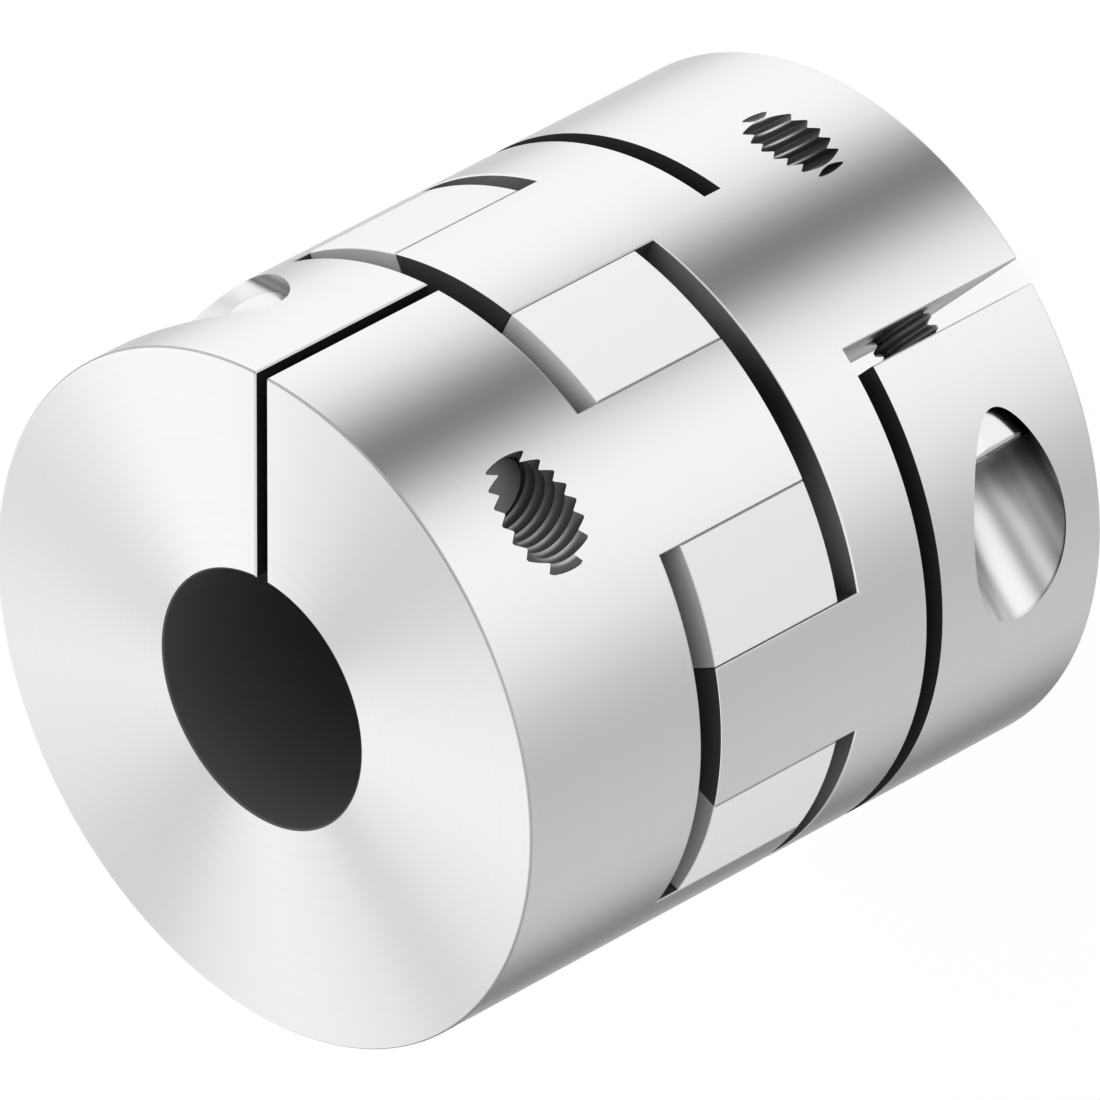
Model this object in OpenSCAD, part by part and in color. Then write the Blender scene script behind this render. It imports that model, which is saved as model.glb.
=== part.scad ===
// Elastomer jaw coupling: two slit clamping hubs that drive each other through a soft spider.
// Millimetres. The coupling stands on the rear hub's end face, axis along +Z,
// with the origin in the middle of that face and the front hub on top.

/* [Coupling] */
// Outer diameter of both hubs and of the spider
coupling_d = 65; // [62:1:72]
// Number of jaws on each hub
jaw_count = 4; // [3:1:4]
// Length over which jaws and spider legs mesh
mesh_len = 15; // [12:0.5:20]
// Gap between the jaw tips of one hub and the body of the other
tip_gap = 2.4; // [1.5:0.1:4]
// Break on the turned outer rims and on the bore mouths
edge_break = 0.2; // [0.1:0.05:0.5]

/* [Jaws and spider legs] */
// Diameter of the clear space inside the jaws
jaw_bore_d = 36; // [33:0.5:38]
// Width of a spider leg across the outer diameter
leg_w = 11.2; // [9.5:0.1:12.5]
// Radius of the bulge on a leg's flanks
flank_r = 30; // [26:1:60]
// Distance from the axis at which a leg is widest
widest_r = 29; // [26:0.5:31]
// Clearance between a jaw and the spider
flank_gap = 0.12; // [0.05:0.01:0.3]

/* [Spider] */
// Diameter of the hole through the spider
spider_bore_d = 28; // [22:0.5:30]
// Height of the ring that joins the legs
ring_h = 11; // [8:0.5:14]
// Break on the moulded outer edges of the legs
leg_break = 0.25; // [0.1:0.05:0.5]
// Diameter of the spacer nubs on the legs
nub_d = 3.5; // [2:0.25:5]
// Distance of the nubs from the axis
nub_r = 22; // [21:0.5:25]
// Clearance between a nub and the hub that it faces
nub_gap = 0.15; // [0.05:0.05:0.4]

/* [Front hub] */
// Bore for the driven shaft
front_bore_d = 24; // [16:0.5:25]
// Length of the body, from the end face to the jaw roots
front_len = 20.7; // [20:0.1:26]
// Width of the clamping slit
front_slit_w = 1.3; // [0.8:0.1:2.4]

/* [Front clamp screw] */
// Thread diameter
front_screw_d = 8; // [6:0.5:8]
// Length under the head
front_screw_len = 22; // [16:1:23]
// Head diameter
front_head_d = 13; // [11:0.5:14]
// Head height
front_head_h = 8; // [6:0.5:8.5]
// Width of the hexagon socket across its flats
front_socket_w = 6; // [4:0.5:7]
// Clearance hole under the head
front_clear_d = 9; // [8.4:0.1:10]
// Pocket that the head lies in
front_pocket_d = 15.5; // [14.4:0.1:16]
// Distance from the coupling axis to the screw axis
front_screw_offset = 23.5; // [22:0.1:24]
// Distance from the end face to the screw axis
front_screw_inset = 11.2; // [9:0.1:12]
// Distance from the middle of the slit to the head's seat
front_seat = 5; // [3.5:0.1:5.5]

/* [Rear hub] */
// Bore for the driving shaft
rear_bore_d = 24; // [16:0.5:25]
// Length of the body, from the end face to the jaw roots
rear_len = 29.5; // [26:0.1:36]
// Width of the clamping slit
rear_slit_w = 2.4; // [1:0.1:3]
// Length of the clamping ring beyond the relief slot
clamp_ring_len = 19.7; // [17:0.1:22]
// Width of the relief slot that frees the clamping ring
relief_w = 2; // [1:0.1:3]
// Angle from the slit to the far side of the bridge that holds the clamping ring
bridge_angle = 35.4; // [25:0.1:60]

/* [Rear clamp screw] */
// Thread diameter
rear_screw_d = 6; // [5:0.5:6]
// Length under the head
rear_screw_len = 16; // [14:1:20]
// Head diameter
rear_head_d = 9.4; // [9:0.1:10.4]
// Head height
rear_head_h = 6; // [5:0.5:6.5]
// Width of the hexagon socket across its flats
rear_socket_w = 5; // [3:0.5:5]
// Clearance hole under the head
rear_clear_d = 6.6; // [6.4:0.1:7.5]
// Pocket that the head lies in
rear_pocket_d = 11.2; // [10.6:0.1:12]
// Distance from the coupling axis to the screw axis
rear_screw_offset = 25.6; // [23:0.1:26]
// Distance from the end face to the screw axis
rear_screw_inset = 9.8; // [8:0.1:11]
// Distance from the middle of the slit to the head's seat
rear_seat = 6.3; // [5:0.1:7]

/* [Screw details] */
// Clearance between a screw thread and its tapped hole
thread_gap = 0.05; // [0.03:0.01:0.15]
// Bevel round a screw head's top edge
head_bevel = 0.5; // [0.3:0.05:0.9]
// Bevel on a screw's tip
tip_bevel = 0.9; // [0.4:0.1:1.2]
// Share of the head height that the hexagon socket takes
socket_share = 0.5; // [0.3:0.05:0.6]
// Share of the socket's width that its drilled hole takes
drill_share = 0.95; // [0.7:0.05:0.95]
// Angle of the drill's point
drill_angle = 118; // [90:1:140]

/* [Hidden] */

outer_r = coupling_d / 2;
jaw_h = tip_gap + mesh_len;
mesh_z = rear_len + tip_gap;
total_len = rear_len + mesh_len + front_len + 2 * tip_gap;
jaw_pitch = 360 / jaw_count;
leg_pitch = jaw_pitch / 2;
rear_turn = -90;
front_turn = rear_turn + leg_pitch;
over = 1;
$fn = 144;

// How far a leg's flank circles lie to each side of its centre line, so that the leg
// is leg_w wide where its flanks reach the outer diameter.
flank_x = sqrt(outer_r * outer_r - leg_w * leg_w / 4);
flank_shift = sqrt(flank_r * flank_r - pow(flank_x - widest_r, 2)) - leg_w / 2;

// Disc or shaft with an edge break at the bottom and, if asked for, at the top.
module broken_cylinder(r, h, low, high) {
    rotate_extrude()
        polygon([
            [0, 0], [r - low, 0], [r, low],
            [r, h - high], [r - high, h], [0, h]
        ]);
}

// Bore cutter along +Z, wider at its mouth by the edge break.
module bore_cut(d, h) {
    translate([0, 0, -over])
        cylinder(d = d, h = h + 2 * over);
    translate([0, 0, -over])
        cylinder(r1 = d / 2 + edge_break + over, r2 = d / 2, h = edge_break + over);
}

// A spider leg's outline as a pillar along +Z, its centre line on +X, grown by a clearance.
module leg_pillar(h, gap) {
    intersection() {
        translate([widest_r, -flank_shift, 0])
            cylinder(r = flank_r + gap, h = h, $fn = 180);
        translate([widest_r, flank_shift, 0])
            cylinder(r = flank_r + gap, h = h, $fn = 180);
        translate([0, -outer_r, 0])
            cube([2 * outer_r, 2 * outer_r, h]);
    }
}

// One jaw of height h, standing on z = 0 with its middle on +X, between two leg pillars.
module jaw(h) {
    reach = 2 * outer_r;
    half = leg_pitch / 2;
    difference() {
        intersection() {
            difference() {
                broken_cylinder(outer_r, h, 0, edge_break);
                translate([0, 0, -over])
                    cylinder(d = jaw_bore_d, h = h + 2 * over);
            }
            // The wedge ends on the middle lines of the two legs beside the jaw.
            linear_extrude(h)
                polygon([
                    [0, 0],
                    [reach * cos(half), -reach * sin(half)],
                    [reach * cos(half), reach * sin(half)]
                ]);
        }
        for (side = [-1, 1])
            rotate([0, 0, side * half])
                translate([0, 0, -over])
                    leg_pillar(h + 2 * over, flank_gap);
    }
}

// Hub body with its jaws: end face on z = 0, jaws upwards, clamping slit to be cut along +X.
module hub_blank(body_len) {
    broken_cylinder(outer_r, body_len, edge_break, 0);
    for (i = [0 : jaw_count - 1])
        rotate([0, 0, (i + 0.5) * jaw_pitch])
            translate([0, 0, body_len - over])
                jaw(jaw_h + over);
}

// Slit from the bore out through the rim.
module slit_cut(slit_w, slit_len) {
    translate([0, -slit_w / 2, -over])
        cube([outer_r + over, slit_w, slit_len + over]);
}

// Screw hole across the slit: clearance and head pocket towards -Y, tapped towards +Y.
module screw_cut(offset, inset, screw_d, clear_d, pocket_d, seat) {
    translate([offset, 0, inset]) {
        rotate([-90, 0, 0])
            cylinder(d = screw_d + 2 * thread_gap, h = outer_r);
        rotate([90, 0, 0])
            cylinder(d = clear_d, h = outer_r);
        translate([0, -seat, 0])
            rotate([90, 0, 0])
                cylinder(d = pocket_d, h = outer_r);
    }
}

// Relief slot all round, apart from the bridge beside the slit on the tapped side.
module relief_cut() {
    reach = 2 * coupling_d;
    translate([0, 0, clamp_ring_len])
        difference() {
            cylinder(r = outer_r + over, h = relief_w);
            translate([0, 0, -over])
                linear_extrude(relief_w + 2 * over)
                    polygon([
                        [0, 0],
                        [reach, 0],
                        [reach * cos(bridge_angle), reach * sin(bridge_angle)]
                    ]);
        }
}

// Socket head screw: seat on z = 0, head upwards, shank downwards.
module cap_screw(d, len, head_d, head_h, socket_w) {
    floor_z = head_h * (1 - socket_share);
    drill_r = socket_w / 2 * drill_share;
    difference() {
        union() {
            broken_cylinder(head_d / 2, head_h, 0, head_bevel);
            translate([0, 0, -len])
                broken_cylinder(d / 2, len + over, tip_bevel, 0);
        }
        translate([0, 0, floor_z])
            cylinder(d = socket_w / cos(30), h = head_h, $fn = 6);
        // The hexagon was broached into a drilled hole, whose cone is left at its floor.
        translate([0, 0, floor_z])
            rotate_extrude()
                polygon([[0, -drill_r / tan(drill_angle / 2)], [drill_r, 0], [drill_r, over], [0, over]]);
    }
}

// Places a part of the rear hub: slit towards -Y.
module at_rear() {
    rotate([0, 0, rear_turn])
        children();
}

// Places a part of the front hub: turned over, half a jaw pitch on from the rear hub.
module at_front() {
    translate([0, 0, total_len])
        rotate([0, 0, front_turn])
            rotate([180, 0, 0])
                children();
}

module rear_hub() {
    color("gainsboro")
        at_rear()
            difference() {
                hub_blank(rear_len);
                bore_cut(rear_bore_d, rear_len);
                slit_cut(rear_slit_w, clamp_ring_len + relief_w);
                relief_cut();
                screw_cut(rear_screw_offset, rear_screw_inset, rear_screw_d,
                    rear_clear_d, rear_pocket_d, rear_seat);
            }
}

module front_hub() {
    color("gainsboro")
        at_front()
            difference() {
                hub_blank(front_len);
                bore_cut(front_bore_d, front_len);
                slit_cut(front_slit_w, front_len + over);
                screw_cut(front_screw_offset, front_screw_inset, front_screw_d,
                    front_clear_d, front_pocket_d, front_seat);
            }
}

module spider() {
    ring_r = jaw_bore_d / 2 - flank_gap;
    nub_h = tip_gap - nub_gap;
    color("ivory")
        translate([0, 0, mesh_z])
            difference() {
                union() {
                    translate([0, 0, (mesh_len - ring_h) / 2])
                        cylinder(r = ring_r, h = ring_h);
                    for (i = [0 : 2 * jaw_count - 1])
                        rotate([0, 0, (i + 0.5) * leg_pitch]) {
                            intersection() {
                                broken_cylinder(outer_r, mesh_len, leg_break, leg_break);
                                leg_pillar(mesh_len, 0);
                                translate([(spider_bore_d / 2 + ring_r) / 2, -outer_r, 0])
                                    cube([outer_r, 2 * outer_r, mesh_len]);
                            }
                            // Nubs face the two hubs in turn.
                            translate([nub_r, 0, i % 2 == 0 ? -nub_h : mesh_len / 2])
                                cylinder(d = nub_d, h = nub_h + mesh_len / 2);
                        }
                }
                translate([0, 0, -over])
                    cylinder(d = spider_bore_d, h = mesh_len + 2 * over);
            }
}

module rear_clamp_screw() {
    color("dimgray")
        at_rear()
            translate([rear_screw_offset, -rear_seat, rear_screw_inset])
                rotate([90, 0, 0])
                    cap_screw(rear_screw_d, rear_screw_len, rear_head_d, rear_head_h, rear_socket_w);
}

module front_clamp_screw() {
    color("dimgray")
        at_front()
            translate([front_screw_offset, -front_seat, front_screw_inset])
                rotate([90, 0, 0])
                    cap_screw(front_screw_d, front_screw_len, front_head_d, front_head_h, front_socket_w);
}

rear_hub();
front_hub();
spider();
rear_clamp_screw();
front_clamp_screw();
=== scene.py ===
import math

import bmesh
import bpy
from mathutils import Matrix, Vector


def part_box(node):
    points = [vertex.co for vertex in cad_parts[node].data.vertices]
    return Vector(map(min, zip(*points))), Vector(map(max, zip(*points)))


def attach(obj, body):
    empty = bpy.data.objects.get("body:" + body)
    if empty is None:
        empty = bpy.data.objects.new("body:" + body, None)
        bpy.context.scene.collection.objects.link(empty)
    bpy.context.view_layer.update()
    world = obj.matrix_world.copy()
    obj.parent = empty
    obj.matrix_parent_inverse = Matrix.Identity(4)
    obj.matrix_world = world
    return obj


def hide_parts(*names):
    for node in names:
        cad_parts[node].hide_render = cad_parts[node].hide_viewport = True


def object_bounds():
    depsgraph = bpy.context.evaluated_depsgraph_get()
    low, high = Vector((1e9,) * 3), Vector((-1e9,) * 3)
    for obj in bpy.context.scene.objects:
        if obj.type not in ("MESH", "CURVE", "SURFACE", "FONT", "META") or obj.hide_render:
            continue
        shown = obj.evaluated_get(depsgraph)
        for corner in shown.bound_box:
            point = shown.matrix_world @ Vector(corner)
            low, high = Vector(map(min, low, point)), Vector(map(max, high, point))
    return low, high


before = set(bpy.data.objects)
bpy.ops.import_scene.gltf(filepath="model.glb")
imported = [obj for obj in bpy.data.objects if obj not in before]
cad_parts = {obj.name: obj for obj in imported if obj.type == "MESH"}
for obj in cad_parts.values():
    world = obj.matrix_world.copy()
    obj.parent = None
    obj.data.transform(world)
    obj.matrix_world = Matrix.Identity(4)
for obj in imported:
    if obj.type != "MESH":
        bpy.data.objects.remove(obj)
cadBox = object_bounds()
mm = 0.001  # pieces are modelled in millimetres and scaled at the end
bpy.context.scene.view_settings.view_transform = "Standard"


# Camera

photoView = {
    "azimuth": -3.5712,  # degrees round the coupling, 0 looks along +Y
    "elevation": 37.2116,
    "roll": -117.8315,  # the coupling leans over to the left
    "aim": (-0.2188, 0.0524, 35.0387),  # point in the middle of the picture, mm
    "distance": 2054.99,  # mm
    "lens": 777.436,
    "sensor": 36.0,
}


def directionOf(v):
    # From the coupling towards a camera or a lamp
    turn, tilt = math.radians(v["azimuth"]), math.radians(v["elevation"])
    return Vector((math.sin(turn) * math.cos(tilt), -math.cos(turn) * math.cos(tilt), math.sin(tilt)))


def addCamera(v):
    back = directionOf(v)
    data = bpy.data.cameras.new("photoCamera")
    data.lens = v["lens"]
    data.sensor_width = v["sensor"]
    data.clip_start, data.clip_end = 0.05, 50
    camera = bpy.data.objects.new("photoCamera", data)
    bpy.context.scene.collection.objects.link(camera)
    level = (-back).to_track_quat("-Z", "Y").to_matrix()
    roll = Matrix.Rotation(math.radians(v["roll"]), 3, "Z")
    camera.matrix_world = (level @ roll).to_4x4()
    camera.location = (Vector(v["aim"]) + back * v["distance"]) * mm
    bpy.context.scene.camera = camera


def polar(radius, angle):
    return radius * math.cos(angle), radius * math.sin(angle)


# Node maths

class Wire:
    # One output socket. Plain maths on it adds Math nodes.
    def __init__(self, socket):
        self.socket = socket

    def maths(self, operation, *others):
        tree = self.socket.id_data
        node = tree.nodes.new("ShaderNodeMath")
        node.operation = operation
        for entry, value in zip(node.inputs, others):
            if isinstance(value, Wire):
                tree.links.new(value.socket, entry)
            else:
                entry.default_value = value
        return Wire(node.outputs[0])

    def __add__(self, other):
        return self.maths("ADD", self, other)

    def __radd__(self, other):
        return self.maths("ADD", other, self)

    def __sub__(self, other):
        return self.maths("SUBTRACT", self, other)

    def __rsub__(self, other):
        return self.maths("SUBTRACT", other, self)

    def __mul__(self, other):
        return self.maths("MULTIPLY", self, other)

    def __rmul__(self, other):
        return self.maths("MULTIPLY", other, self)

    def __truediv__(self, other):
        return self.maths("DIVIDE", self, other)

    def __rtruediv__(self, other):
        return self.maths("DIVIDE", other, self)

    def bigger(self, other):
        return self.maths("MAXIMUM", self, other)

    def root(self):
        return self.maths("SQRT", self)

    def exponent(self):
        return self.maths("EXPONENT", self)


class Nodes:
    # A material's or the world's node tree, emptied
    def __init__(self, owner):
        owner.use_nodes = True
        self.tree = owner.node_tree
        self.tree.nodes.clear()

    def add(self, nodeType, settings=None, values=None, output=0):
        node = self.tree.nodes.new(nodeType)
        for name, value in (settings or {}).items():
            setattr(node, name, value)
        for name, value in (values or {}).items():
            if isinstance(value, Wire):
                self.tree.links.new(value.socket, node.inputs[name])
            else:
                node.inputs[name].default_value = value
        return node if output is None or not node.outputs else Wire(node.outputs[output])

    def mixColours(self, amount, first, second):
        return self.add("ShaderNodeMix", {"data_type": "RGBA"}, {0: amount, 6: first, 7: second}, 2)

    def scaled(self, colour, factor):
        colour = colour if isinstance(colour, Wire) else colour[:3]
        return self.add("ShaderNodeVectorMath", {"operation": "SCALE"}, {0: colour, "Scale": factor})

    def smoothly(self, value, start, end, low, high):
        return self.add("ShaderNodeMapRange", {"interpolation_type": "SMOOTHSTEP"}, {
            "Value": value, "From Min": start, "From Max": end, "To Min": low, "To Max": high,
        })

    def banded(self, x, y, bands):
        # Soft dark bands by the angle round an axis: angle, sharpness, depth.
        # A negative depth brightens.
        radius = (x * x + y * y).root().bigger(1e-6)
        light = 1.0
        for angle, sharpness, depth in bands:
            towards = polar(1, math.radians(angle))
            cosine = (x * towards[0] + y * towards[1]) / radius
            light = (1 - ((cosine - 1) * sharpness).exponent() * depth) * light
        return light

    def split(self, vector):
        parts = self.add("ShaderNodeSeparateXYZ", None, {0: vector}, None)
        return [Wire(out) for out in parts.outputs]

    def objectPlace(self):
        place = self.add("ShaderNodeTexCoord", output=3)
        return place, self.split(place)

    def placeIn(self, frameOf):
        # Object coordinates in millimetres in a piece's own frame
        place, (x, y, z) = self.objectPlace()
        rows = frameOf.inverted()
        return place, [(x * r[0] + y * r[1] + z * r[2]) / mm + r[3] for r in rows[:3]]

    def rayKinds(self, *names):
        path = self.add("ShaderNodeLightPath", output=None)
        return [Wire(path.outputs[name]) for name in names]

    def surface(self, shader):
        self.add("ShaderNodeOutputMaterial", None, {"Surface": shader})


# Studio

studio = {
    "background": 1.0,
    "matLevel": 0.87,  # what matt surfaces get from the world
    "matLean": 0.26,  # how much more of it comes from one side
    "matTowards": 0.0,  # that side's azimuth
    "glossLevel": 1.05,  # white walls that the metal reflects
    "horizon": (0.15, -0.05),  # heights between which the upper walls give way to the lower ones
    # Soft dark panels below the horizon: azimuth, sharpness, depth
    "lowPanels": [
        (-43.1, 17.7, 0.96),
        (121.8, 22.9, 0.94),
        (173.5, 2.0, 0.46),
        (210.4, 12.2, 0.32),
        (58.3, 37.1, 0.62),
    ],
    # Soft dark panels above it: azimuth, elevation, sharpness, depth
    "highPanels": [
        (75.5, 61.9, 49.8, 0.97),
        (114.3, 38.7, 47.7, 0.97),
        (-31.4, 75.0, 11.9, 0.97),
        (140.4, 24.6, 18.1, 0.81),
    ],
    "floorSize": 6.0,  # metres
    "floorColour": (0.95, 0.95, 0.95, 1),
    "floorGlow": 0.88,  # share of the floor that the camera sees as plain white
    "floorLight": 1.03,
}

lamps = {
    "key": {"azimuth": 70.0, "elevation": 50.0, "distance": 1.2, "size": 0.9, "power": 1.5},
}


def addWorld(v):
    world = bpy.data.worlds.new("studioWorld")
    bpy.context.scene.world = world
    world.cycles.sampling_method = "NONE"  # each kind of ray then sees its own level
    n = Nodes(world)
    x, y, z = n.split(n.add("ShaderNodeTexCoord", output=0))
    level = (x * x + y * y).root().bigger(0.001)

    def panel(shade, towards, sharpness, depth):
        return shade * (1 - ((towards - 1) * sharpness).exponent() * depth)

    low = high = n.add("ShaderNodeValue")
    low.socket.default_value = v["glossLevel"]
    for azimuth, sharpness, depth in v["lowPanels"]:
        towards = Vector(polar(1, math.radians(azimuth)))
        low = panel(low, (x * towards.x + y * towards.y) / level, sharpness, depth)
    for azimuth, elevation, sharpness, depth in v["highPanels"]:
        tilt = math.radians(elevation)
        towards = Vector((*polar(math.cos(tilt), math.radians(azimuth)), math.sin(tilt)))
        high = panel(high, x * towards.x + y * towards.y + z * towards.z, sharpness, depth)
    lowness = n.smoothly(z, v["horizon"][0], v["horizon"][1], 0.0, 1.0)
    shine = high + (low - high) * lowness
    bright = Vector(polar(v["matLean"], math.radians(v["matTowards"])))
    matt = (x * bright.x + y * bright.y + 1) * v["matLevel"]
    camera, glossy, through = n.rayKinds("Is Camera Ray", "Is Glossy Ray", "Is Transmission Ray")
    unseen = matt + (shine - matt) * glossy
    strength = unseen + (v["background"] - unseen) * camera.bigger(through)
    sky = n.add("ShaderNodeBackground", None, {"Color": (1, 1, 1, 1), "Strength": strength})
    n.add("ShaderNodeOutputWorld", None, {"Surface": sky})


def addFloor(v):
    half = v["floorSize"] / 2
    mesh = bpy.data.meshes.new("studioFloor")
    corners = [(-half, -half, 0), (half, -half, 0), (half, half, 0), (-half, half, 0)]
    mesh.from_pydata(corners, [], [(0, 1, 2, 3)])
    floor = bpy.data.objects.new("studioFloor", mesh)
    bpy.context.scene.collection.objects.link(floor)
    material = bpy.data.materials.new("floorPaper")
    n = Nodes(material)
    camera, glossy, through = n.rayKinds("Is Camera Ray", "Is Glossy Ray", "Is Transmission Ray")
    paper = n.add("ShaderNodeBsdfDiffuse", None, {"Color": v["floorColour"]})
    white = n.add("ShaderNodeEmission", None, {"Color": (1, 1, 1, 1), "Strength": v["floorLight"]})
    lit = n.add("ShaderNodeMixShader", None, {0: camera * v["floorGlow"], 1: paper, 2: white})
    clear = n.add("ShaderNodeBsdfTransparent")
    n.surface(n.add("ShaderNodeMixShader", None, {0: glossy.bigger(through), 1: lit, 2: clear}))
    mesh.materials.append(material)


def addLamp(name, v, middle):
    back = directionOf(v)
    data = bpy.data.lights.new(name, "AREA")
    data.shape = "DISK"
    data.size = v["size"]
    data.energy = v["power"]
    lamp = bpy.data.objects.new(name, data)
    bpy.context.scene.collection.objects.link(lamp)
    lamp.location = middle + back * v["distance"]
    lamp.rotation_euler = (-back).to_track_quat("-Z", "Y").to_euler()
    lamp.visible_camera = False
    lamp.visible_glossy = False  # the metal reflects the studio walls only


# Materials

bumpHeight = 0.0001  # metres that a bump's whole range stands for

metal = {
    "colour": (0.945, 0.945, 0.948, 1),
    "toolMark": (0.925, 0.925, 0.928, 1),  # colour in the turning marks
    # The end faces: lighter than the sides, with painted sheen in soft dark bands by azimuth (angle,
    # sharpness, depth) that stand in for the turned face's reflections
    "endColour": (1.0, 1.0, 1.0, 1),
    "endToolMark": (0.965, 0.965, 0.965, 1),
    "endBands": [
        (-176.7, 29.3, 0.15),
        (-87.5, 30.6, 0.135),
        (32.9, 13.8, 0.14),
        (104.4, 30.0, 0.125),
        (161.2, 13.8, 0.1),
    ],
    "roughness": 0.3,
    "anisotropic": 0.9,
    "markTurn": 0.25,  # quarter turn: highlights stretch across the turning marks
    "markScale": 1400.0,  # turning marks per metre
    "markDepth": 0.02,
}

screwSteel = {
    "colour": (0.90, 0.90, 0.905, 1),
    "worn": (0.88, 0.88, 0.885, 1),
    # Painted shade: the thread below the seat is dark, its bevelled tip lighter and darker towards one side
    "thread": (0.09, 0.09, 0.092, 1),
    "tip": (0.33, 0.33, 0.332, 1),
    "tipLean": 0.17,  # how fast the tip darkens towards one side, per mm
    "roughness": 0.22,
    "grainScale": 2500.0,
}

elastomer = {
    "colour": (0.92, 0.92, 0.915, 1),
    "cloud": (0.905, 0.905, 0.90, 1),
    "roughness": 0.6,
    "grainScale": 900.0,
    "grainDepth": 0.05,
    # Leg ends lie in shade below the hub: radii in mm and how much light is left there.
    # More of it is left on one side.
    "shadeFrom": (27.5, 0.24),
    "shadeTo": (31.0, 0.40),
    "shadeBands": [(285.0, 2.2, -1.2)],
}

# Cut faces that lie in shade: brightness, and how much lighter it is where a white leg is near
shades = {
    "bore": (0.09, 0.0),
    "frontSlit": (0.012, 0.0),
    "reliefSlot": (0.03, 0.0),
    "gapFloor": (0.10, 0.65),
    "jawTip": (0.055, 0.0),
    "jawFlank": (0.05, 0.0),
    "seam": (0.4, 0.0),
}
shadeGrain = {"scale": 600.0, "spread": 0.04, "specular": 0.2}

# Painted shade in the tapped holes' thread roots
tapped = {
    "root": (0.09, 0.09, 0.092, 1),
    "roughness": 0.5,
}

pocketWall = {
    "colour": (0.97, 0.97, 0.972, 1),
    "roughness": 0.3,
    "besideHead": 0.15,  # light left in the gap round the screw's head
    "aboveHead": (0.43, 4.5),  # light left just above it, and over how many mm it comes back
    # rimWidth: how wide the painted shade line along the mouth is
    "rimWidth": 0.3,  # mm
}


def turnedMetal(v, name, isEnd):
    material = bpy.data.materials.new(name)
    n = Nodes(material)
    x, y, z = n.objectPlace()[1]
    radius = (x * x + y * y).root()
    track = n.add("ShaderNodeCombineXYZ", None, {0: radius * v["markScale"], 1: z * v["markScale"]})
    marks = n.add("ShaderNodeTexNoise", {"noise_dimensions": "2D"}, {
        "Vector": track, "Scale": 1.0, "Detail": 3.0,
    })
    if isEnd:
        colour = n.mixColours(marks, v["endColour"], v["endToolMark"])
        # Painted sheen: soft dark bands by the angle round the axis
        colour = n.scaled(colour, n.banded(x, y, v["endBands"]))
    else:
        colour = n.mixColours(marks, v["colour"], v["toolMark"])
    bump = n.add("ShaderNodeBump", None, {
        "Strength": v["markDepth"], "Distance": bumpHeight, "Height": marks,
    })
    n.surface(n.add("ShaderNodeBsdfPrincipled", None, {
        "Base Color": colour, "Metallic": 1.0, "Roughness": v["roughness"],
        "Anisotropic": v["anisotropic"], "Anisotropic Rotation": v["markTurn"], "Normal": bump,
    }))
    return material


def shadedMetal(brightness, legLight, name, metallic=0.0, roughness=0.6):
    material = bpy.data.materials.new(name)
    n = Nodes(material)
    place, (x, y, z) = n.objectPlace()
    grain = n.add("ShaderNodeTexNoise", None, {
        "Vector": place, "Scale": shadeGrain["scale"], "Detail": 2.0,
    })
    light, dark = brightness * (1 + shadeGrain["spread"]), brightness * (1 - shadeGrain["spread"])
    colour = n.mixColours(grain, (light, light, light, 1), (dark, dark, dark, 1))
    if legLight:
        turn = y.maths("ARCTAN2", y, x) * (2 * coupling["jawCount"])
        colour = n.scaled(colour, 1 - turn.maths("COSINE", turn) * legLight)
    n.surface(n.add("ShaderNodeBsdfPrincipled", None, {
        "Base Color": colour, "Metallic": metallic, "Roughness": roughness,
        "Specular IOR Level": shadeGrain["specular"],
    }))
    return material


def tappedMetal(v, name, frameOf, hub):
    # Painted shade in the roots and painted light on the crests, on one side: the frame's Z is the thread's
    # axis
    material = bpy.data.materials.new(name)
    n = Nodes(material)
    x, y, z = n.placeIn(frameOf)[1]
    crestAt = hub["threadR"] - hub["threadDepth"]
    crest = n.smoothly((x * x + y * y).root(), crestAt + hub["crestWidth"], crestAt, 0.0, 1.0)
    angle, sharpness = hub["threadLight"]
    lit = 1 - n.banded(x, y, [(angle, sharpness, 1.0)])
    n.surface(n.add("ShaderNodeBsdfPrincipled", None, {
        "Base Color": n.mixColours(crest * lit, v["root"], hub["crest"]),
        "Roughness": v["roughness"],
    }))
    return material


def pocketMetal(v, name, frameOf, pocket, headTop, outer):
    # Painted reflections: light and dark bands run along the pocket. Painted shade: a dark line along the
    # mouth on one side, and the wall round and just above the head. The frame's Z is its axis and the head
    # ends at headTop.
    material = bpy.data.materials.new(name)
    n = Nodes(material)
    place, (x, y, z) = n.placeIn(frameOf)
    across, along, up = n.split(place)
    depth = outer - (across * across + along * along).root() / mm
    rim = n.smoothly(depth, 0.05, v["rimWidth"], 1.0, 0.0)
    light = n.banded(x, y, pocket["bands"])
    light = light * (1 - (1 - n.banded(x, y, [pocket["rimBand"]])) * rim)
    light = light * n.smoothly(z, headTop, headTop + v["aboveHead"][1], v["aboveHead"][0], 1.0)
    light = light * n.smoothly(z, headTop - 0.3, headTop + 0.1, v["besideHead"], 1.0)
    n.surface(n.add("ShaderNodeBsdfPrincipled", None, {
        "Base Color": n.scaled(v["colour"], light), "Metallic": 1.0, "Roughness": v["roughness"],
    }))
    return material


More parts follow.
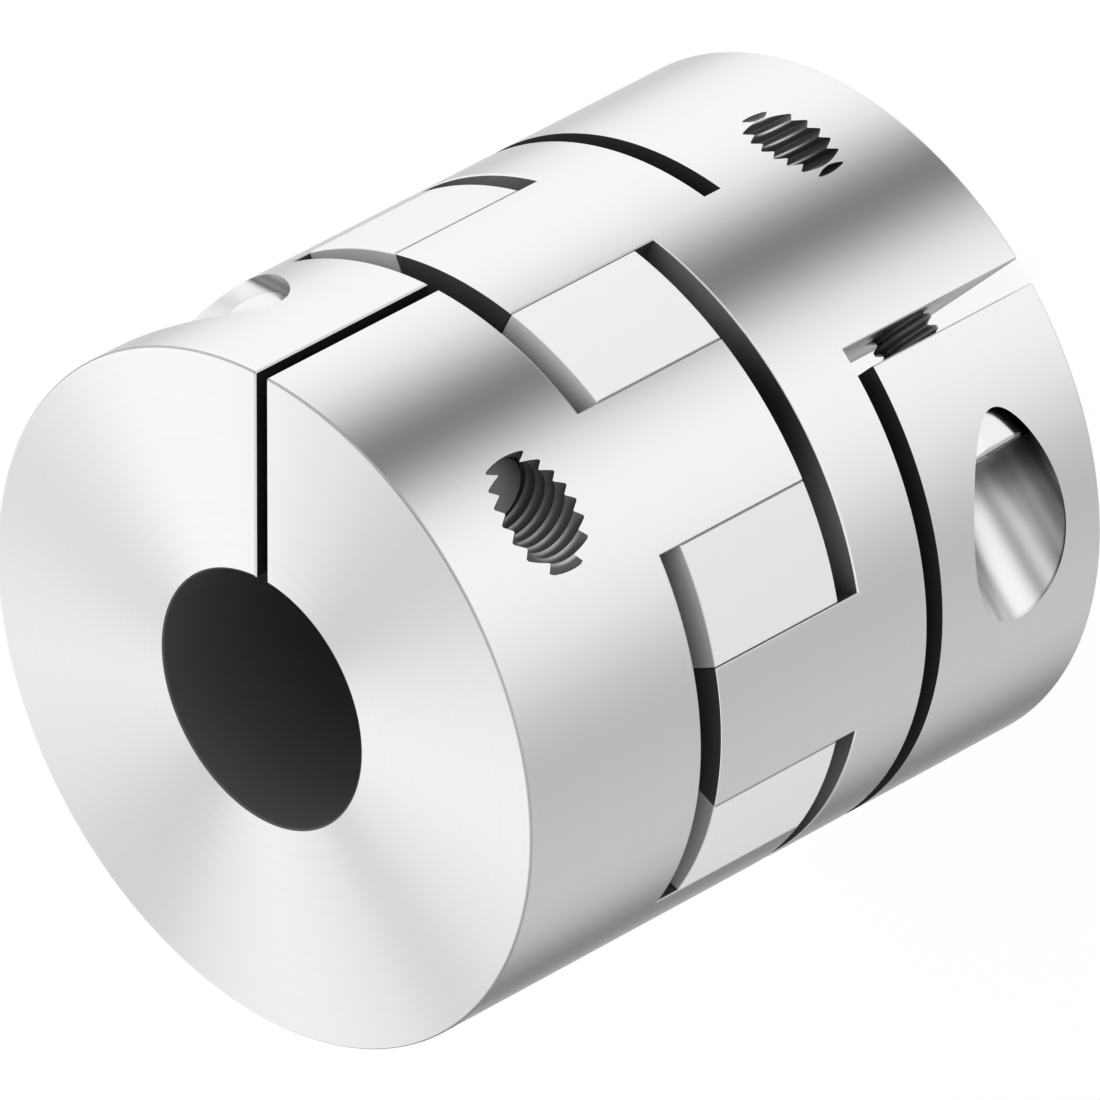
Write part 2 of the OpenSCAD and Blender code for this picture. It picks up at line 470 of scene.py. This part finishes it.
def boltSteel(v, name, frameOf, length):
    # Bright head, painted shade on the thread and on its bevelled tip, which is lighter and darkens towards
    # one side: the frame's Z points out of the head, its origin is on the seat
    material = bpy.data.materials.new(name)
    n = Nodes(material)
    place, (x, y, z) = n.placeIn(frameOf)
    grain = n.add("ShaderNodeTexNoise", None, {"Vector": place, "Scale": v["grainScale"], "Detail": 2.0})
    bright = n.mixColours(grain, v["colour"], v["worn"])
    thread = n.smoothly(z, -0.1, -0.3, 0.0, 1.0)  # starts just below the seat
    tip = n.smoothly(z, 1.0 - length, 0.7 - length, 0.0, 1.0)  # the bevelled end
    # Painted shade below the seat, lighter on the tip and darker towards one side there
    below = n.mixColours(tip, v["thread"], n.scaled(v["tip"], 1 - (x + y) * v["tipLean"]))
    n.surface(n.add("ShaderNodeBsdfPrincipled", None, {
        "Base Color": n.mixColours(thread, bright, below),
        "Metallic": 1 - thread, "Roughness": v["roughness"],
    }))
    return material


def mouldedElastomer(v, name, shaded):
    material = bpy.data.materials.new(name)
    n = Nodes(material)
    place, (x, y, z) = n.objectPlace()
    grain = n.add("ShaderNodeTexNoise", None, {"Vector": place, "Scale": v["grainScale"], "Detail": 4.0})
    bump = n.add("ShaderNodeBump", None, {
        "Strength": v["grainDepth"], "Distance": bumpHeight, "Height": grain,
    })
    # Painted shade where shaded is 1: darker towards the axis, lighter on one side
    (near, least), (far, most) = v["shadeFrom"], v["shadeTo"]
    light = n.smoothly((x * x + y * y).root() / mm, near, far, least, most)
    light = light * n.banded(x, y, v["shadeBands"])
    colour = n.mixColours(grain, v["colour"], v["cloud"])
    n.surface(n.add("ShaderNodeBsdfPrincipled", None, {
        "Base Color": n.mixColours((1 - light) * shaded, colour, (0, 0, 0, 1)),
        "Roughness": v["roughness"], "Normal": bump,
    }))
    return material


# Meshes

def newObject(name, vertices, faces):
    mesh = bpy.data.meshes.new(name)
    mesh.from_pydata(vertices, [], faces)
    made = bpy.data.objects.new(name, mesh)
    bpy.context.scene.collection.objects.link(made)
    return outwards(made)


def outwards(made):
    work = bmesh.new()
    work.from_mesh(made.data)
    bmesh.ops.recalc_face_normals(work, faces=work.faces)
    work.to_mesh(made.data)
    work.free()
    return made


def turnOf(before, here, after):
    one = Vector((here[0] - before[0], here[1] - before[1]))
    two = Vector((after[0] - here[0], after[1] - here[1]))
    return one, two, one.angle_signed(two)


def rounded(outline, radius, steps=3, sharpest=0.6):
    # Puts an arc in place of each corner of a closed outline that turns more than sharpest, in radians
    made, count = [], len(outline)
    for i, here in enumerate(outline):
        one, two, turn = turnOf(outline[i - 1], here, outline[(i + 1) % count])
        if abs(turn) < sharpest:
            made.append(tuple(here))
            continue
        cut = min(radius * math.tan(abs(turn) / 2), 0.45 * one.length, 0.45 * two.length)
        corner = Vector(here)
        start, end = corner - one.normalized() * cut, corner + two.normalized() * cut
        inward = (end - corner).normalized() + (start - corner).normalized()
        middle = corner + inward.normalized() * (cut / math.tan(abs(turn) / 2) / math.cos(abs(turn) / 2))
        for k in range(steps + 1):
            arm = Matrix.Rotation(-turn * k / steps, 2) @ (start - middle)
            made.append(tuple(middle + arm))
    return made


def revolve(name, profile, segments=480):
    # profile: (radius, height) points of a closed outline. A point on the axis becomes a pole.
    rings, vertices = [], []
    for radius, height in profile:
        if radius < 1e-9:
            rings.append([len(vertices)] * segments)
            vertices.append((0, 0, height))
        else:
            rings.append(range(len(vertices), len(vertices) + segments))
            vertices += [(*polar(radius, 2 * math.pi * i / segments), height) for i in range(segments)]
    faces = []
    spans = len(profile) if profile[0][0] > 1e-9 else len(profile) - 1
    for k in range(spans):
        low, high = rings[k], rings[(k + 1) % len(rings)]
        for i in range(segments):
            j = (i + 1) % segments
            corners = [low[i], low[j], high[j], high[i]]
            faces.append([c for at, c in enumerate(corners) if c not in corners[:at]])
    return newObject(name, vertices, faces)


def inset(outline, distance):
    # Moves a closed anticlockwise outline inwards, for edge breaks
    count, made = len(outline), []
    for i, here in enumerate(outline):
        one, two, turn = turnOf(outline[i - 1], here, outline[(i + 1) % count])
        left = one.normalized() + two.normalized()
        left = Vector((-left.y, left.x)).normalized()
        made.append(tuple(Vector(here) + left * (distance / math.cos(turn / 2))))
    return made


def loft(name, outline, levels):
    # Prism of a closed anticlockwise outline. Each level is a height and how far the outline moves inwards.
    vertices, faces, count = [], [], len(outline)
    rings = [inset(outline, distance) if distance else outline for height, distance in levels]
    for (height, distance), ring in zip(levels, rings):
        vertices += [(x, y, height) for x, y in ring]
    for k in range(len(rings) - 1):
        for i in range(count):
            j = (i + 1) % count
            faces.append([k * count + i, k * count + j, (k + 1) * count + j, (k + 1) * count + i])
    faces.append(list(reversed(range(count))))
    faces.append([(len(rings) - 1) * count + i for i in range(count)])
    return newObject(name, vertices, faces)


def slab(name, outline, low, high, lowBreak=0.0, highBreak=0.0, steps=4):
    # Prism whose lower and upper edges are rounded by the breaks
    angles = [math.pi / 2 * i / steps for i in range(steps + 1)]
    curve = [(1 - math.sin(a), 1 - math.cos(a)) for a in angles]
    lower, upper = [(low, 0)], [(high, 0)]
    if lowBreak:
        lower = [(low + lowBreak * up, lowBreak * inwards) for up, inwards in reversed(curve)]
    if highBreak:
        upper = [(high - highBreak * up, highBreak * inwards) for up, inwards in curve]
    return loft(name, outline, lower + upper)


def bar(name, radius, low, high, segments=192):
    return revolve(name, [(0, low), (radius, low), (radius, high), (0, high)], segments)


def moved(made, matrix):
    made.data.transform(matrix)
    return made


def shift(x, y, z):
    return Matrix.Translation((x, y, z))


def turned(degrees, axis):
    return Matrix.Rotation(math.radians(degrees), 4, axis)


def finished(made):
    # The evaluated object as a plain mesh, its modifiers removed
    bpy.context.view_layer.update()
    graph = bpy.context.evaluated_depsgraph_get()
    mesh = bpy.data.meshes.new_from_object(made.evaluated_get(graph))
    made.modifiers.clear()
    made.data = mesh
    return made


def combine(target, operation, *others):
    for other in others:
        modifier = target.modifiers.new(operation.lower(), "BOOLEAN")
        modifier.operation = operation
        modifier.object = other
        modifier.solver = "MANIFOLD"
        modifier.material_mode = "TRANSFER"
    finished(target)
    for other in others:
        bpy.data.objects.remove(other)
    return target


def dressed(made, material):
    made.data.materials.clear()
    made.data.materials.append(material)
    return made


def paint(made, material, test):
    # Gives the faces whose centre and normal pass the test a material of their own
    made.data.materials.append(material)
    last = len(made.data.materials) - 1
    for face in made.data.polygons:
        if test(face.center, face.normal):
            face.material_index = last
    return made


def asPiece(made, node):
    # Scales a finished piece to metres, shades it and lets it stand for its CAD node
    made.data.transform(Matrix.Scale(mm, 4))
    made.data.shade_smooth()
    made.data.set_sharp_from_angle(angle=math.radians(8))
    for face in made.data.polygons:
        face.use_smooth = abs(face.normal.z) < 0.9999  # level faces stay flat
    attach(made, "root")
    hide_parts(node)
    print(made.name, "has", len(made.data.polygons), "faces")
    return made


# Geometry Nodes

def newTree(name, inputs):
    tree = bpy.data.node_groups.new(name, "GeometryNodeTree")
    tree.interface.new_socket("Geometry", in_out="OUTPUT", socket_type="NodeSocketGeometry")
    tree.interface.new_socket("Geometry", in_out="INPUT", socket_type="NodeSocketGeometry")
    for label, kind, value in inputs:
        entry = tree.interface.new_socket(label, in_out="INPUT", socket_type=kind)
        if value is not None:
            entry.default_value = value
    return tree


def treeNode(tree, nodeType, settings=None, values=None):
    node = tree.nodes.new(nodeType)
    for name, value in (settings or {}).items():
        setattr(node, name, value)
    for name, value in (values or {}).items():
        if isinstance(value, bpy.types.NodeSocket):
            tree.links.new(value, node.inputs[name])
        else:
            node.inputs[name].default_value = value
    return node


def treeEnd(tree, geometry, material):
    real = treeNode(tree, "GeometryNodeRealizeInstances", None, {0: geometry})
    painted = treeNode(tree, "GeometryNodeSetMaterial", None, {0: real.outputs[0], "Material": material})
    treeNode(tree, "NodeGroupOutput", None, {0: painted.outputs[0]})


def ringTree():
    # Copies of one piece, evenly round the axis
    tree = newTree("ringOfPieces", [
        ("Count", "NodeSocketInt", 4), ("First Angle", "NodeSocketFloat", 0.0),
        ("Material", "NodeSocketMaterial", None),
    ])
    given = tree.nodes.new("NodeGroupInput").outputs
    points = treeNode(tree, "GeometryNodePoints", None, {"Count": given["Count"]})
    index = tree.nodes.new("GeometryNodeInputIndex").outputs[0]
    pitch = treeNode(tree, "ShaderNodeMath", {"operation": "DIVIDE"}, {
        0: 2 * math.pi, 1: given["Count"],
    })
    angle = treeNode(tree, "ShaderNodeMath", {"operation": "MULTIPLY_ADD"}, {
        0: index, 1: pitch.outputs[0], 2: given["First Angle"],
    })
    angles = treeNode(tree, "ShaderNodeCombineXYZ", None, {2: angle.outputs[0]})
    spin = treeNode(tree, "FunctionNodeEulerToRotation", None, {0: angles.outputs[0]})
    copies = treeNode(tree, "GeometryNodeInstanceOnPoints", None, {
        "Points": points.outputs[0], "Instance": given["Geometry"], "Rotation": spin.outputs[0],
    })
    treeEnd(tree, copies.outputs[0], given["Material"])
    return tree


def ridgeTree():
    # A thread's ridge: a trapezoid swept along a helix that rises along +Z
    tree = newTree("threadRidge", [
        ("Turns", "NodeSocketFloat", 8.0), ("Pitch", "NodeSocketFloat", 1.25),
        ("Middle Radius", "NodeSocketFloat", 3.7), ("Depth", "NodeSocketFloat", 0.7),
        ("Inner Width", "NodeSocketFloat", 1.0), ("Outer Width", "NodeSocketFloat", 0.2),
        ("Steps", "NodeSocketInt", 144), ("Material", "NodeSocketMaterial", None),
    ])
    given = tree.nodes.new("NodeGroupInput").outputs
    height = treeNode(tree, "ShaderNodeMath", {"operation": "MULTIPLY"}, {
        0: given["Turns"], 1: given["Pitch"],
    })
    helix = treeNode(tree, "GeometryNodeCurveSpiral", None, {
        "Resolution": given["Steps"], "Rotations": given["Turns"],
        "Start Radius": given["Middle Radius"], "End Radius": given["Middle Radius"],
        "Height": height.outputs[0], "Reverse": True,
    })
    upright = treeNode(tree, "GeometryNodeSetCurveNormal", {"mode": "Z_UP"}, {0: helix.outputs[0]})
    section = treeNode(tree, "GeometryNodeCurvePrimitiveQuadrilateral", {"mode": "TRAPEZOID"}, {
        "Height": given["Depth"], "Bottom Width": given["Inner Width"],
        "Top Width": given["Outer Width"], "Offset": 0.0,
    })
    outward = treeNode(tree, "GeometryNodeTransform", None, {
        0: section.outputs[0], "Rotation": (0, 0, -math.pi / 2),
    })
    ridge = treeNode(tree, "GeometryNodeCurveToMesh", None, {
        0: upright.outputs[0], 1: outward.outputs[0], "Fill Caps": True,
    })
    treeEnd(tree, ridge.outputs[0], given["Material"])
    return tree


def withTree(made, tree, **values):
    modifier = made.modifiers.new(tree.name, "NODES")
    modifier.node_group = tree
    for entry in tree.interface.items_tree:
        label = entry.name.replace(" ", "")
        if entry.in_out == "INPUT" and label in values:
            modifier[entry.identifier] = values[label]
    return finished(made)


# Coupling

coupling = {
    "jawCount": 4,
    "jawHeight": 17.4,  # from the body to the jaw's tip
    "jawBoreR": 18.0,
    "legWidth": 11.2,  # of a spider leg at the outer diameter
    "flankR": 30.0,  # bulge of a leg's flanks
    "widestR": 29.0,  # where a leg is widest
    "flankGap": 0.07,
    "edgeBreak": 0.2,  # turned rims
    "slitBreak": 0.16,  # edges of the slits
    "jawBreak": 0.08,  # milled edges
}
cornerShare = 1.3  # corners are rounded by more than the edge break, or its inset outline would fold
coupling["outerR"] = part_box("rear_hub")[1].x / mm
coupling["length"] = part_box("front_hub")[1].z / mm
coupling["meshLow"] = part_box("front_hub")[0].z / mm
coupling["meshHigh"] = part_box("rear_hub")[1].z / mm


def legHalfAngle(radius, gap, c):
    # Where a leg's flank, a circle, meets the circle of this radius round the axis
    half = c["legWidth"] / 2
    reach = math.sqrt(c["outerR"] ** 2 - half ** 2)
    side = math.sqrt(c["flankR"] ** 2 - (reach - c["widestR"]) ** 2) - half
    arm = math.hypot(c["widestR"], side)
    share = (radius ** 2 + arm ** 2 - (c["flankR"] + gap) ** 2) / (2 * radius * arm)
    return math.acos(share) - math.atan2(side, c["widestR"])


def sectorOutline(inner, outer, halfAngle, flankSteps=14, arcSteps=40):
    # Closed anticlockwise outline on +X between two radii, its half angle a function of the radius
    radii = [inner + (outer - inner) * i / flankSteps for i in range(flankSteps + 1)]
    lower = [polar(r, -halfAngle(r)) for r in radii]
    upper = [polar(r, halfAngle(r)) for r in reversed(radii)]
    outerHalf, innerHalf = halfAngle(outer), halfAngle(inner)
    outside = [polar(outer, outerHalf * (2 * i / arcSteps - 1)) for i in range(1, arcSteps)]
    inside = [polar(inner, innerHalf * (1 - 2 * i / arcSteps)) for i in range(1, arcSteps)]
    return lower + outside + upper + inside


def jawRing(bodyLen, c):
    pitch = math.pi / c["jawCount"]
    outline = sectorOutline(
        c["jawBoreR"], c["outerR"], lambda r: pitch / 2 - legHalfAngle(r, c["flankGap"], c))
    outline = rounded(outline, cornerShare * c["jawBreak"])
    root = 1.0  # sunk into the body
    jaw = slab("jaw", outline, bodyLen - root, bodyLen + c["jawHeight"], 0.0, c["jawBreak"])
    return withTree(jaw, ringOfPieces, Count=c["jawCount"], FirstAngle=pitch, Material=hubMetal)


# Hubs, each modelled with its end face on z = 0, its jaws upwards and its slit towards +X

rearHub = {
    "boreR": 12.0, "bodyLen": 29.5, "slitWidth": 2.4, "slitLen": 21.7,
    "screwOffset": 25.6, "screwInset": 9.8, "clearR": 3.3, "pocketR": 5.6, "seat": 6.3,
    "threadR": 3.23, "threadDepth": 0.77, "threadPitch": 1.17, "threadPhase": 0.446,
    "threadLight": (165.0, 5.0),  # where the crests catch light: angle, sharpness
    "crest": (0.95, 0.95, 0.955, 1), "crestWidth": 0.2,
    "rimColour": 0.8,
    # Painted reflections in the pocket wall, soft dark bands: angle, sharpness, depth. rimBand places a
    # painted shade line along the mouth.
    "pocket": {
        "bands": [
            (171.0, 120.0, 0.36),
            (157.0, 60.0, 0.4),
            (211.9, 59.0, 0.569),
            (241.3, 220.5, 0.246),
            (277.1, 41.7, 0.674),
            (260.4, 7.3, 0.70),
        ],
        "rimBand": (250.0, 3.0, 0.9),
    },
}
# Slot that frees the clamping ring. A bridge is left from the slit round to this angle.
relief = {"low": 19.7, "width": 2.0, "bridge": 35.4}
frontHub = {
    "boreR": 12.0, "bodyLen": 20.7, "slitWidth": 1.3, "slitLen": 22.0,
    "screwOffset": 23.5, "screwInset": 11.2, "clearR": 4.5, "pocketR": 7.75, "seat": 5.0,
    "threadR": 4.15, "threadDepth": 0.79, "threadPitch": 1.18, "threadPhase": 0.392,
    "threadLight": (190.0, 5.0),
    "crest": (0.6, 0.6, 0.605, 1), "crestWidth": 0.35,
    "rimColour": 0.5,
    # Painted reflections in the pocket wall, soft dark bands: angle, sharpness, depth
    "pocket": {
        "bands": [
            (58.0, 100.0, 0.5),
            (64.0, 150.0, 0.68),
            (70.0, 200.0, 0.5),
            (75.0, 400.0, 0.75),
        ],
        "rimBand": (60.0, 3.0, 0.0),  # no dark rim on this one
    },
}


def threadRod(radius, depth, pitch, low, high, phase, widths, material=None):
    # A core with a right-handed ridge. widths: the ridge's inner and outer shares of the pitch.
    over = 0.05  # how far the ridge starts inside the core
    ridge = newObject("ridge", [(0, 0, 0)], [])
    ridge = withTree(
        ridge, threadRidge, Turns=(high - low) / pitch, Pitch=pitch,
        MiddleRadius=radius - (depth + over) / 2, Depth=depth + over,
        InnerWidth=widths[0] * pitch, OuterWidth=widths[1] * pitch, Material=material)
    outwards(moved(ridge, shift(0, 0, low) @ turned(360 * (low / pitch + phase), "Z")))
    core = bar("core", radius - depth, low, high)
    if material:
        dressed(core, material)
    return combine(core, "UNION", ridge)


def threadCutter(v, c, material):
    # A tapped hole that leads from the slit out through the rim
    radius, depth, pitch = v["threadR"], v["threadDepth"], v["threadPitch"]
    return threadRod(
        radius, depth, pitch, -2.0, c["outerR"], -v["threadPhase"], (0.97, 0.12), material)


def tappedFrame(v):
    return shift(v["screwOffset"], 0, v["screwInset"]) @ turned(-90, "X")


def pocketFrame(v):
    return shift(v["screwOffset"], 0, v["screwInset"]) @ turned(90, "X")


def boreCutter(v, edge):
    # Widens at its mouth by the edge break
    radius, top = v["boreR"], v["bodyLen"]
    quarter = [math.pi / 2 * i / 4 for i in range(5)]
    mouth = [(radius + edge * (1 - math.cos(a)), edge * (1 - math.sin(a))) for a in quarter]
    low = [(r, h) for r, h in reversed(mouth)]
    high = [(r, top - h) for r, h in mouth]
    below, above = [(0, -1), (radius + edge, -1)], [(radius + edge, top + 1), (0, top + 1)]
    return revolve("bore", [*below, *low, *high, *above])


def slitCutter(v, c, material):
    # Widens at the rim and at the end face by the break. Its chamfers get a painted shade line.
    half, outer, edge, over = v["slitWidth"] / 2, c["outerR"], c["slitBreak"], 0.5
    side = [(0, half), (outer - edge, half), (outer + over, half + edge + over)]
    outline = [(x, -y) for x, y in side] + list(reversed(side))
    slit = loft("slit", outline, [(-over, -edge - over), (edge, 0), (v["slitLen"], 0)])
    dressed(slit, material)
    return paint(slit, edgeShadeLine, lambda centre, normal: 0.1 < abs(normal.y) < 0.9)


def reliefCutter(v, c):
    outer, inner = c["outerR"] + 1, 1.0
    start, end, steps = math.radians(v["bridge"]), 2 * math.pi, 240
    angles = [start + (end - start) * i / steps for i in range(steps + 1)]
    outline = [polar(outer, a) for a in angles] + [polar(inner, a) for a in reversed(angles)]
    return slab("relief", outline, v["low"], v["low"] + v["width"])


def makeHub(name, v, c, screw, slitMaterial, extraCutters, place):
    outer, edge, length = c["outerR"], c["edgeBreak"], v["bodyLen"]
    profile = [(0, 0), (outer, 0), (outer, length), (0, length)]
    hub = dressed(revolve(name, [profile[0], *rounded(profile, edge, 4)[1:-1], profile[-1]]), hubMetal)
    jaws = jawRing(length, c)
    tip = length + c["jawHeight"]
    paint(jaws, shade["jawTip"], lambda centre, normal: centre.z > tip - 0.01)
    paint(jaws, shade["jawFlank"], lambda centre, normal: (
        abs(normal.z) < 0.98 and math.hypot(centre.x, centre.y) < outer - 0.1))
    combine(hub, "UNION", jaws)
    combine(hub, "DIFFERENCE", dressed(boreCutter(v, edge), shade["bore"]))
    slit = slitCutter(v, c, slitMaterial)
    clear = moved(bar("clear", v["clearR"], -1, outer + 1), pocketFrame(v))
    pocket = moved(bar("pocket", v["pocketR"], v["seat"], outer + 1), pocketFrame(v))
    threadMaterial = tappedMetal(tapped, name + "Thread", place @ tappedFrame(v), v)
    thread = moved(threadCutter(v, c, threadMaterial), tappedFrame(v))
    headTop = v["seat"] + screw["headHeight"]
    wall = pocketMetal(
        pocketWall, name + "Pocket", place @ pocketFrame(v), v["pocket"], headTop, outer)
    dressed(clear, shade["bore"])
    dressed(pocket, wall)
    combine(hub, "DIFFERENCE", slit, thread, clear, pocket, *extraCutters)
    paint(hub, shade["gapFloor"], lambda centre, normal: abs(centre.z - length) < 0.01 and normal.z > 0.9)
    paint(hub, endMetal, lambda centre, normal: centre.z < 0.001 and normal.z < -0.99)
    # The end face's rounded rim gets a painted shade line
    rim = shadedMetal(v["rimColour"], 0.0, name + "Rim", 1.0, 0.4)
    paint(hub, rim, lambda centre, normal: centre.z < edge and -0.98 < normal.z < -0.1 and (
        math.hypot(centre.x, centre.y) > outer - edge))
    return moved(hub, place)


# Spider

spiderShape = {
    "boreR": 14.0, "ringHeight": 11.0, "edgeBreak": 0.15, "legFrom": 16.0,
    "nubR": 1.75, "nubAt": 22.0, "nubOut": 2.25,
}


def makeSpider(v, c):
    low, high = c["meshLow"], c["meshHigh"]
    ringR, middle = c["jawBoreR"] - c["flankGap"], (low + high) / 2
    ringLow, ringHigh = middle - v["ringHeight"] / 2, middle + v["ringHeight"] / 2
    ring = [(v["boreR"], ringLow), (ringR, ringLow), (ringR, ringHigh), (v["boreR"], ringHigh)]
    spider = revolve("spiderStar", rounded(ring, v["edgeBreak"]))
    outline = sectorOutline(v["legFrom"], c["outerR"], lambda r: legHalfAngle(r, 0, c))
    outline = rounded(outline, cornerShare * v["edgeBreak"], 4)
    leg = slab("leg", outline, low, high, v["edgeBreak"], v["edgeBreak"])
    pitch = math.pi / c["jawCount"]
    legs = withTree(leg, ringOfPieces, Count=2 * c["jawCount"], FirstAngle=pitch / 2)
    combine(spider, "UNION", legs)
    for side, first in ((-1, pitch / 2), (1, 1.5 * pitch)):
        end = low - v["nubOut"] if side < 0 else high + v["nubOut"]
        profile = [(0, middle), (v["nubR"], middle), (v["nubR"], end), (0, end)]
        nub = moved(revolve("nub", profile, 64), shift(v["nubAt"], 0, 0))
        combine(spider, "UNION", withTree(nub, ringOfPieces, Count=c["jawCount"], FirstAngle=first))
    dressed(spider, mouldedElastomer(elastomer, "mouldedElastomer", 0.0))
    # The leg ends get the painted shade under the hub
    ends = mouldedElastomer(elastomer, "elastomerEnds", 1.0)
    inner = c["outerR"] - 2 * v["edgeBreak"]
    paint(spider, ends, lambda centre, normal: (
        abs(normal.z) > (0.1 if math.hypot(centre.x, centre.y) < inner else 0.9)))
    # Painted shade on the legs' rounded outer corners beside the gaps to the jaws, widening the dark gap
    # lines
    return paint(spider, shade["seam"], lambda centre, normal: abs(normal.z) < 0.1 and (
        c["outerR"] - v["edgeBreak"] < math.hypot(centre.x, centre.y) < c["outerR"] - 0.005))


# Clamp screws, each modelled with its seat on z = 0 and its head upwards

rearScrew = {
    "threadR": 3.0, "threadDepth": 0.6, "length": 16.0,
    "headR": 4.7, "headHeight": 6.0, "socketWidth": 5.0,
}
frontScrew = {
    "threadR": 3.95, "threadDepth": 0.72, "length": 22.0,
    "headR": 6.5, "headHeight": 8.0, "socketWidth": 6.0,
}
screwShape = {
    "headBevel": 0.5, "tipBevel": 0.9,
    "socketShare": 0.5, "drillShare": 0.95, "drillAngle": 118.0,
}


def makeScrew(name, v, s, hub, place):
    # Its thread runs in the hub's, with the same pitch and phase
    radius, length, depth, pitch = v["threadR"], v["length"], v["threadDepth"], hub["threadPitch"]
    phase = hub["seat"] / pitch + hub["threadPhase"]
    core = threadRod(radius, depth, pitch, -length - pitch / 2, pitch / 2, phase, (0.9, 0.25))
    core.name = name
    tip = s["tipBevel"]
    side = [(0, -length), (radius - tip, -length), (radius, tip - length), (radius, 2), (0, 2)]
    combine(core, "INTERSECT", revolve("envelope", side, 192))
    height, headR, bevel = v["headHeight"], v["headR"], s["headBevel"]
    arc = [polar(bevel, math.pi / 2 * i / 16) for i in range(17)]
    rim = [(headR - bevel + across, height - bevel + up) for across, up in arc]
    head = revolve("head", [(0, 0), (headR, 0), *rim, (0, height)], 192)
    combine(core, "UNION", head)
    floor = height * (1 - s["socketShare"])
    corner = v["socketWidth"] / math.sqrt(3)
    socket = slab("socket", [polar(corner, math.pi / 3 * i) for i in range(6)], floor, height + 1)
    drillR = v["socketWidth"] / 2 * s["drillShare"]
    cone = drillR / math.tan(math.radians(s["drillAngle"]) / 2)
    drilled = [(0, floor - cone), (drillR, floor), (drillR, floor + 1), (0, floor + 1)]
    combine(core, "DIFFERENCE", socket, revolve("drill", drilled, 96))
    return dressed(moved(core, place), boltSteel(screwSteel, name + "Steel", place, length))


addCamera(photoView)
addWorld(studio)
addFloor(studio)
for lampName, lampValues in lamps.items():
    addLamp(lampName, lampValues, (cadBox[0] + cadBox[1]) / 2)
print("camera and studio are set")

hubMetal = turnedMetal(metal, "turnedAluminium", False)
endMetal = turnedMetal(metal, "turnedEndFace", True)
shade = {name: shadedMetal(*values, name + "Shade") for name, values in shades.items()}
# Painted shade line for the slits' chamfers
edgeShadeLine = shadedMetal(0.75, 0.0, "edgeShadeLine", 1.0, 0.4)
ringOfPieces, threadRidge = ringTree(), ridgeTree()

atRear = turned(-90, "Z")
atFront = shift(0, 0, coupling["length"]) @ turned(-45, "Z") @ turned(180, "X")
slot = dressed(reliefCutter(relief, coupling), shade["reliefSlot"])
rear = makeHub("rearHub", rearHub, coupling, rearScrew, hubMetal, [slot], atRear)
asPiece(rear, "rear_hub")
front = makeHub("frontHub", frontHub, coupling, frontScrew, shade["frontSlit"], [], atFront)
asPiece(front, "front_hub")
asPiece(makeSpider(spiderShape, coupling), "spider")
for screwName, nodeName, screw, hub, place in (
    ("rearClampScrew", "rear_clamp_screw", rearScrew, rearHub, atRear),
    ("frontClampScrew", "front_clamp_screw", frontScrew, frontHub, atFront),
):
    seated = place @ shift(hub["screwOffset"], -hub["seat"], hub["screwInset"]) @ turned(90, "X")
    asPiece(makeScrew(screwName, screw, screwShape, hub, seated), nodeName)
print("pieces are made")
